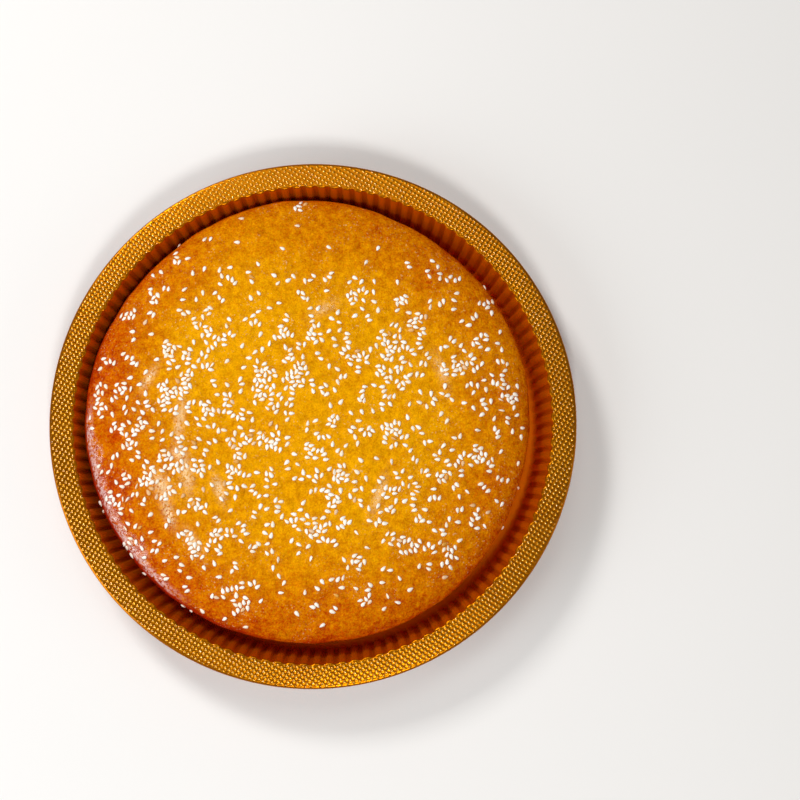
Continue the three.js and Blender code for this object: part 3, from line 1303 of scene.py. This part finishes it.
@dataclass(frozen=True)
class Baking:
    """What the oven and the brush did to the crust: its browning, its glaze and its streaks, and
    where light and shade are painted on it: the painted sheen and the painted edge shade.
    """

    shape: CakeShape
    brown_side: float = math.radians(215)
    middle_bake: float = 0.1
    outward: Browning = Browning(Fade(0.42, 1), 0.4, 0.25)
    brink: Browning = Browning(Fade(0.955, 1), 0.04, 0.16)
    paler_below: float = 0.45
    pale_depth: Fade = Fade(1 * MM, 6 * MM)
    # painted edge shade: its rise at the very edge, its sides and its fading down the side
    line: Browning = Browning(Fade(0.981, 0.991), 0.04, 0.96, 8)
    line_fading: float = 0.8
    line_depth: Fade = Fade(2 * MM, 9 * MM)
    pool_side: float = math.radians(206)
    pool_sides: Fade = Fade(0.8, 0.9)
    pool_core: Fade = Fade(0.88, 0.985)
    pool_start: float = 0.975
    pool_widening: float = 0.06
    pool_wander: Ripples = Ripples(12 * MM, 30 * MM, 0.014, 9)
    pool_rise: Fade = Fade(0, 0.03)
    streak_glaze: float = 0.3
    # painted sheen: where the shoulder's outer band is painted pinkish white
    painted_sheen_most: float = 0.7
    painted_sheen_sides: Fade = Fade(0.84, 0.95)
    painted_sheen_rise: Fade = Fade(0.945, 0.968)
    painted_sheen_fall: Fade = Fade(0.983, 0.989)
    painted_sheen_depth: Fade = Fade(0, 2 * MM)
    wrinkle_stretch: float = 0.3
    streaks: tuple[Streak, ...] = (
        Streak(-68 * MM, 0 * MM, 9 * MM, 1.7 * MM, 84),
        Streak(-64 * MM, -27 * MM, 8 * MM, 2.2 * MM, 100),
        Streak(-68 * MM, -17 * MM, 3.5 * MM, 2.0 * MM, 150),
        Streak(-77 * MM, -33 * MM, 6 * MM, 3.2 * MM, 120),
        Streak(-73 * MM, -47 * MM, 6 * MM, 2.2 * MM, 110),
        Streak(-47 * MM, -35 * MM, 6 * MM, 1.8 * MM, 110),
        Streak(-84 * MM, 22 * MM, 6 * MM, 1.6 * MM, 60),
        Streak(-60 * MM, -62 * MM, 6 * MM, 1.8 * MM, 120),
        Streak(34 * MM, -38 * MM, 8 * MM, 2.0 * MM, 70, 0.6),
        Streak(66 * MM, 26 * MM, 7 * MM, 1.8 * MM, 110, 0.6),
        Streak(6 * MM, 58 * MM, 6 * MM, 2.2 * MM, 30, 0.5),
    )
    blushes: tuple[Spot, ...] = (
        Spot(-62 * MM, 42 * MM, 32 * MM, -0.15),
        Spot(-101 * MM, -8 * MM, 4 * MM, 0.3),
        Spot(-103 * MM, 27 * MM, 13 * MM, 0.2),
        Spot(-93 * MM, 47 * MM, 10 * MM, 0.12),
        Spot(-100 * MM, -33 * MM, 10 * MM, 0.2),
        Spot(-84 * MM, -8 * MM, 22 * MM, 0.08),
        Spot(-62 * MM, -8 * MM, 26 * MM, 0.08),
        Spot(-62 * MM, -58 * MM, 26 * MM, -0.08),
        Spot(-30 * MM, 100 * MM, 30 * MM, -0.12),
        Spot(-14 * MM, -112 * MM, 9 * MM, -0.22),
        Spot(58 * MM, 74 * MM, 16 * MM, 0.12),
        Spot(88 * MM, -30 * MM, 14 * MM, 0.1),
    )

    def bearings(self, points: Array) -> tuple[Array, Array, Array]:
        """Where places on the crust lie.

        Args:
            points: the places.

        Returns:
            Their azimuths, their shares of the way out and their depths below the widest line.
        """
        azimuth, distance = bearing(points[:, :2] - self.shape.place)
        share = distance / self.shape.outline(azimuth)
        return azimuth, share, self.shape.widest - points[:, 2]

    def facing(self, azimuth: Array) -> Array:
        """How near each azimuth is to the brown side, from 0, opposite, to 1."""
        return 0.5 + 0.5 * np.cos(azimuth - self.brown_side)

    def bake(self, points: Array) -> Array:
        """How far each place is baked, from 0, golden, to 1, dark.

        It rises with the way out, more so on the left near side and most of all at the edge,
        and falls again down the side. The blushes add their bell curves.

        Args:
            points: places on the crust.

        Returns:
            The bake at each place.
        """
        azimuth, share, depth = self.bearings(points)
        facing = self.facing(azimuth)
        below = self.paler_below * self.pale_depth.at(depth)
        bake = self.middle_bake + self.outward.at(share, facing) + self.brink.at(share, facing)
        blushes = sum(blush.share(points[:, 0], points[:, 1]) for blush in self.blushes)
        return bake - below + blushes

    def glaze(self, points: Array) -> Array:
        """How thick the glaze is at each place, from 0 to 1.

        It pools along the shoulder on the left near side, furthest in at the middle of the pool,
        and lies thinner in the streaks. Elsewhere there is none.

        Args:
            points: places on the crust.

        Returns:
            The thickness at each place.
        """
        azimuth, share, _ = self.bearings(points)
        near = np.cos(azimuth - self.pool_side)
        wander = self.pool_wander.at(points[:, 0], points[:, 1])
        start = self.pool_start - self.pool_widening * self.pool_core.at(near) + wander
        pool = self.pool_sides.at(near) * self.pool_rise.at(share - start)
        return np.maximum(pool, self.streak_glaze * self.streaked(points))

    def painted_sheen(self, points: Array) -> Array:
        """Painted sheen: how pale the crust is painted along the shoulder's outer band, on the
        left near side, as a painted reflection of the light.

        Args:
            points: places on the crust.

        Returns:
            The share of painted sheen at each place.
        """
        azimuth, share, depth = self.bearings(points)
        wide = self.painted_sheen_sides.at(np.cos(azimuth - self.pool_side))
        band = self.painted_sheen_rise.at(share) * (1 - self.painted_sheen_fall.at(share))
        return self.painted_sheen_most * wide * band * (1 - self.painted_sheen_depth.at(depth))

    def painted_edge_shade(self, points: Array) -> Array:
        """Painted shade: how dark red the crust is painted at its very edge, most of all on the
        left near side, for the shaded rolled edge.

        Args:
            points: places on the crust.

        Returns:
            The share of dark red at each place.
        """
        azimuth, share, depth = self.bearings(points)
        fading = 1 - self.line_fading * self.line_depth.at(depth)
        return self.line.at(share, self.facing(azimuth)) * fading

    def streaked(self, points: Array) -> Array:
        """How much of the brush streaks there is at each place, from 0 to 1."""
        shares = [streak.share(points[:, 0], points[:, 1]) for streak in self.streaks]
        return np.minimum(np.sum(shares, axis=0), 1)

    def wrinkle_place(self, points: Array) -> Array:
        """Places at which noise runs in wrinkles over the shoulder: a shortened way out."""
        azimuth, share, _ = self.bearings(points)
        return polar(self.shape.radius, azimuth, share * self.shape.radius * self.wrinkle_stretch)


@dataclass
class Crust:
    """The cake's whole glazed skin, which closes under its base."""

    shape: CakeShape
    finish: CrustFinish = CrustFinish()
    sides: int = 512
    shoulder_rings: int = 56
    middle_rings: int = 80
    side_rings: int = 16
    halvings: tuple[float, ...] = (0.45, 0.2, 0.08)
    shoulder_turn: float = math.radians(75)
    skirt_reach: float = 1.6 * MM
    skirt_height: float = 0.12 * MM
    skirt_batches: int = 64
    streak_highlights: float = 0.95
    skirt_glints: float = 0.05

    def shares(self) -> Array:
        """The rings' shares of the way out: even in the middle, then by the dome's own angle.

        Returns:
            The shares, from the middle out.
        """
        turn = np.linspace(self.shoulder_turn, 0, self.shoulder_rings)
        shoulder = np.cos(turn) ** (2 / self.shape.dome_power)
        middle = np.linspace(0, shoulder[0], self.middle_rings + 1)[1:-1]
        return np.concatenate([middle, shoulder])

    def sides_at(self, share: float) -> int:
        """How many points a ring has: half as many inside each of the halvings."""
        return self.sides >> sum(share <= limit for limit in self.halvings)

    def skirts(self, points: Array, seeds: Array) -> Array:
        """How much the glaze gathers round the seeds: a bell curve round each, at most 1.

        Args:
            points: places on the crust.
            seeds: the seeds' places.

        Returns:
            The share at each place.
        """
        height = np.zeros(len(points))
        for part in np.array_split(np.arange(len(points)), self.skirt_batches):
            gap = points[part, None, :2] - seeds[None, :, :2]
            square = (gap**2).sum(axis=-1) / self.skirt_reach**2
            height[part] = np.minimum(1, np.exp(-square).sum(axis=1))
        return height

    def build(self, seeds: Array) -> None:
        """Builds the skin as rings, raises the glaze round the seeds and paints the bake.

        Args:
            seeds: the seeds' places.
        """
        rings = [self.shape.top(ring(self.sides_at(share)), share) for share in self.shares()]
        turns = np.linspace(0, math.pi / 2, self.side_rings + 1)[1:]
        rings += [self.shape.side(ring(self.sides), turn) for turn in turns]
        foot = np.array([*self.shape.place, self.shape.base])
        crown = self.shape.top(np.array([0.0]), np.array([0.0]))[0]
        vertices, quads, triangles = ring_shell(crown, rings, foot)
        skirt = (vertices[:, 2] > self.shape.widest) * self.skirts(vertices, seeds)
        vertices[:, 2] += self.skirt_height * skirt
        piece = smooth_object("crust", (vertices, quads, triangles))
        oven = Baking(self.shape)
        # Paints the bake and the glaze, and painted light: the painted edge shade and the painted
        # sheen
        for layer in (oven.bake, oven.glaze, oven.painted_edge_shade, oven.painted_sheen, oven.wrinkle_place):
            paint(piece, layer.__name__, layer(vertices))
        # painted highlights: pale glints painted on the streaks and round the seeds
        painted_highlights = self.streak_highlights * oven.streaked(vertices) + self.skirt_glints * skirt
        paint(piece, "painted_highlights", painted_highlights)
        dress(piece, self.finish.material(), "cake")


# ---- The tray ----


@dataclass
class Tray:
    """The fluted gold tray: floor, leaning fluted wall, dotted rim and short skirt."""

    finish: GoldFinish = GoldFinish()
    flutes: int = 120
    flute_depth: float = 1.3 * MM
    flute_turn: float = math.radians(-0.3)
    rib_bias: float = 0.15
    steepness: float = 1.8
    mouth_flute: float = 0.6
    sheet: float = 0.6 * MM
    floor_radius: float = 114.5 * MM
    foot_radius: float = 117.8 * MM
    foot_height: float = 2.6 * MM
    mouth_radius: float = 123.2 * MM
    rim_radius: float = 136 * MM
    rim_height: float = 28 * MM
    rim_edge_drop: float = 0.5 * MM
    rim_rounding: float = 1.4 * MM
    mouth_rounding: float = 1 * MM
    nose_turns: tuple[float, ...] = (0, 4, 16, 32, 50, 68)
    skirt_length: float = 3 * MM
    crown: float = 0.1 * MM
    dot_height: float = 0.1 * MM
    seam: float = 0.02 * MM
    floor_middle: float = 0.5
    floor_band: float = 0.97
    bend_start: float = 0.2
    bend_rings: int = 4
    lip: float = 0.985
    foot_drop: float = 0.2 * MM
    mouth_fade: Fade = Fade(0.55, 1)
    heel: float = 1.6 * MM
    heel_height: float = 0.25 * MM
    heel_flute: float = 0.5
    groove_shade_fade: Fade = Fade(-0.1, 0.35)
    groove_shade_most: float = 0.36
    face_fade: Fade = Fade(0, 0.15)
    dots_start: Fade = Fade(-0.05, 0.06)
    dots_end: Fade = Fade(0.96, 1)
    domes_height: float = 0.6
    domes_start: Fade = Fade(-0.4 * MM, 0.4 * MM)
    domes_end: Fade = Fade(-0.2 * MM, 0.5 * MM)
    edge_rings: int = 5
    hem: float = 0.15 * MM
    rim_sides: int = 1920
    wall_sides: int = 1920
    coarse: int = 480
    wall_rings: int = 12
    rim_rings: int = 34

    @property
    def wall_top(self) -> float:
        """The height at which the wall meets the rim's nose."""
        return self.rim_height - self.mouth_rounding

    def flute(self, azimuth: Array) -> Array:
        """The flutes' wave: wide flat ribs with narrower grooves between them.

        It is half the depth times tanh(steepness (cos(flutes a) - bias)) / tanh(steepness).

        Args:
            azimuth: angles round the tray, in radians.

        Returns:
            How far out the wall stands at each angle.
        """
        wave = np.cos(self.flutes * (azimuth - self.flute_turn)) - self.rib_bias
        swing = self.flute_depth / 2 / math.tanh(self.steepness)
        return swing * np.tanh(self.steepness * wave)

    def dots(self, points: Array) -> Array:
        """The embossed dots' height at each place: two crossed cosines on the lattice."""
        first, second = (np.cos(TURN * cells) for cells in self.finish.lattice.cells(points))
        return self.dot_height / 2 * (first + second)

    def circle(self, radius: float, height: float, share: float = 0, sides: int = 0) -> Array:
        """A ring of the tray with a share of the flutes' depth, coarse if no sides are given."""
        azimuth = ring(sides or self.coarse)
        return polar(radius + share * self.flute(azimuth), azimuth, height)

    def dotted_face(self) -> list[Array]:
        """The rim's upper face, from its rounded inner edge to its outer one, with the dots.

        Between the edges the height is a straight fall plus a low crown, 4 way (1 - way). The
        dots fade in over the inner edge and out before the plain outer band.

        Returns:
            The rings, from the mouth out.
        """
        start = self.mouth_radius + self.mouth_rounding
        end = self.rim_radius - self.rim_rounding
        edge = self.rim_height - self.rim_edge_drop
        rings = []
        for turn in np.radians(self.nose_turns):
            radius = self.mouth_radius + self.mouth_rounding * (1 - math.cos(turn))
            height = self.rim_height - self.mouth_rounding * (1 - math.sin(turn))
            rings.append(self.circle(radius, height, self.mouth_flute, self.rim_sides))
        for way in np.linspace(0, 1, self.rim_rings):
            radius = start + way * (end - start)
            share = self.mouth_flute * (1 - self.face_fade.at(way))
            height = self.rim_height + way * (edge - self.rim_height)
            height += self.crown * 4 * way * (1 - way)
            points = self.circle(radius, height, share, self.rim_sides)
            shown = self.dots_start.at(way) * (1 - self.dots_end.at(way))
            points[:, 2] += shown * self.dots(points)
            rings.append(points)
        return rings

    def well(self) -> None:
        """Builds the floor and the fluted wall as one closed shell, its lip under the nose."""
        sheet = self.sheet
        inner_floor = self.floor_radius * self.floor_band
        rings = [
            self.circle(radius, sheet)
            for radius in (self.floor_radius * self.floor_middle, inner_floor, self.floor_radius)
        ]
        for turn in np.linspace(self.bend_start, 1, self.bend_rings):
            swing = turn * math.pi / 2
            radius = self.floor_radius + (self.foot_radius - self.floor_radius) * math.sin(swing)
            height = sheet + (self.foot_height - sheet) * (1 - math.cos(swing))
            rings.append(self.circle(radius, height, turn, self.wall_sides))
        top = self.wall_top - self.seam
        for way in (*np.linspace(0, 1, self.wall_rings + 1)[1:-1], self.lip, 1):
            radius = self.foot_radius + way * (self.mouth_radius - self.foot_radius)
            height = self.foot_height + way * (top - self.foot_height)
            share = 1 - (1 - self.mouth_flute) * self.mouth_fade.at(way)
            rings.append(self.circle(radius, height, share, self.wall_sides))
        rings += [
            self.circle(self.mouth_radius + sheet, top, self.mouth_flute),
            self.circle(self.foot_radius + sheet, self.foot_height - self.foot_drop, 1),
            self.circle(self.floor_radius + self.heel, self.heel_height, self.heel_flute),
            self.circle(self.floor_radius, 0),
            self.circle(inner_floor, 0),
        ]
        middle = np.zeros(3)
        shell = ring_shell(middle + (0, 0, sheet), rings, middle)
        piece = smooth_object("tray_well", shell)
        azimuth, radius = bearing(shell[0])
        # painted shade: darker in the flutes' grooves, on the wall and not the floor
        depth = self.groove_shade_fade.at(self.flute(azimuth) / self.flute_depth)
        wall = Fade(self.floor_radius, self.foot_radius).at(radius)
        paint(piece, "groove_shade", self.groove_shade_most * depth * wall)
        paint(piece, "drawn", np.ones(len(radius)))
        paint(piece, "dotted", np.zeros(len(radius)))
        dress(piece, self.finish.material(), "tray")

    def rim(self) -> None:
        """Builds the rim as one closed loop: nose, face, rounded edge, skirt and underside."""
        sheet = self.sheet
        edge = self.rim_height - self.rim_edge_drop
        flat = self.rim_radius - self.rim_rounding
        start = self.mouth_radius + self.mouth_rounding
        skirt_top = edge - self.rim_rounding
        skirt_end = edge - self.skirt_length
        rings = self.dotted_face()
        for turn in np.linspace(0, math.pi / 2, self.edge_rings + 1)[1:]:
            radius = flat + self.rim_rounding * math.sin(turn)
            height = skirt_top + self.rim_rounding * math.cos(turn)
            rings.append(self.circle(radius, height))
        rings += [
            self.circle(self.rim_radius, skirt_end + self.hem),
            self.circle(self.rim_radius - self.hem, skirt_end),
            self.circle(self.rim_radius - sheet + self.hem, skirt_end),
            self.circle(self.rim_radius - sheet, skirt_end + self.hem),
            self.circle(self.rim_radius - sheet, skirt_top),
            self.circle(flat, edge - sheet),
            self.circle(start + sheet, self.rim_height - sheet, self.mouth_flute),
            self.circle(self.mouth_radius + sheet, self.wall_top, self.mouth_flute),
        ]
        shell = ring_loop(rings)
        piece = smooth_object("tray_rim", shell)
        _, radius = bearing(shell[0])
        face = shell[0][:, 2] > skirt_top + self.domes_height * self.rim_rounding
        inner = self.domes_start.at(radius - start)
        outer = 1 - self.domes_end.at(radius - flat)
        paint(piece, "drawn", np.zeros(len(radius)))
        paint(piece, "dotted", face * inner * outer)
        dress(piece, self.finish.material(), "tray")

    def build(self) -> None:
        """Builds the well and the rim."""
        self.well()
        self.rim()


# ---- The studio ----


@dataclass(frozen=True)
class Softbox:
    """A rectangular soft light that faces the cake."""

    name: str
    azimuth: float
    elevation: float
    distance: float
    width: float
    height: float
    power: float
    colour: tuple[float, float, float] = (1.0, 0.98, 0.96)

    def build(self) -> None:
        """Stands the light on its bearing, aimed at the cake."""
        light = bpy.data.lights.new(self.name, "AREA")
        light.shape = "RECTANGLE"
        light.size = self.width
        light.size_y = self.height
        light.energy = self.power
        light.color = self.colour
        azimuth, elevation = math.radians(self.azimuth), math.radians(self.elevation)
        way = Vector((
            math.cos(elevation) * math.cos(azimuth),
            math.cos(elevation) * math.sin(azimuth),
            math.sin(elevation),
        ))
        lamp = bpy.data.objects.new(self.name, light)
        lamp.location = way * self.distance
        lamp.rotation_euler = way.to_track_quat("Z", "Y").to_euler()
        bpy.context.scene.collection.objects.link(lamp)


@dataclass
class Studio:
    """The pale floor, the soft lights and the camera, which looks almost straight down."""

    floor_size: float = 6.0
    floor_finish: FloorFinish = FloorFinish()
    world_tone: Colour = (1.0, 0.98, 0.96, 1.0)
    world_strength: float = 0.12
    softboxes: tuple[Softbox, ...] = (
        Softbox("key_softbox", 126, 42, 1.5, 0.34, 0.34, 10.3),
        Softbox("far_softbox", 88, 66, 1.6, 0.6, 0.5, 2.5),
        Softbox("left_softbox", 207, 26, 1.3, 0.7, 1.1, 8.0, (0.93, 0.96, 1.0)),
        Softbox("near_softbox", 278, 58, 1.5, 0.3, 0.3, 8.6),
        Softbox("right_fill", 345, 28, 2.0, 1.0, 0.8, 2.8),
    )
    camera_place: tuple[float, float, float] = (44.86 * MM, -72.41 * MM, 823.6 * MM)
    camera_tilt: float = math.radians(6)
    focal_pixels: float = 1552
    frame_pixels: int = 800
    sensor: float = 36.0
    nearest: float = 0.01

    def build(self) -> None:
        """Builds the floor, the lights, the sky and the camera."""
        half = self.floor_size / 2
        signs = np.array([(-1, -1, 0), (1, -1, 0), (1, 1, 0), (-1, 1, 0)])
        square = (signs * half, np.array([[0, 1, 2, 3]]), np.empty((0, 3), int))
        floor = smooth_object("floor", square)
        floor.data.materials.append(self.floor_finish.material())
        for softbox in self.softboxes:
            softbox.build()
        world = bpy.data.worlds.new("studio")
        world.use_nodes = True
        sky = world.node_tree.nodes["Background"]
        sky.inputs["Color"].default_value = self.world_tone
        sky.inputs["Strength"].default_value = self.world_strength
        scene = bpy.context.scene
        scene.world = world
        scene.view_settings.view_transform = "Standard"
        scene.view_settings.look = "None"
        lens = bpy.data.cameras.new("camera")
        lens.sensor_width = self.sensor
        lens.lens = self.sensor * self.focal_pixels / self.frame_pixels
        lens.clip_start = self.nearest
        camera = bpy.data.objects.new("camera", lens)
        camera.location = self.camera_place
        camera.rotation_euler = (self.camera_tilt, 0, 0)
        scene.collection.objects.link(camera)
        scene.camera = camera


def main() -> None:
    """Builds the studio, the tray, the sesame and the crust."""
    logging.basicConfig(level=logging.INFO, format="%(message)s")
    Studio().build()
    Tray().build()
    shape = CakeShape()
    seeds = Sesame(shape).build()
    Crust(shape).build(seeds)


if __name__ == "__main__":
    main()
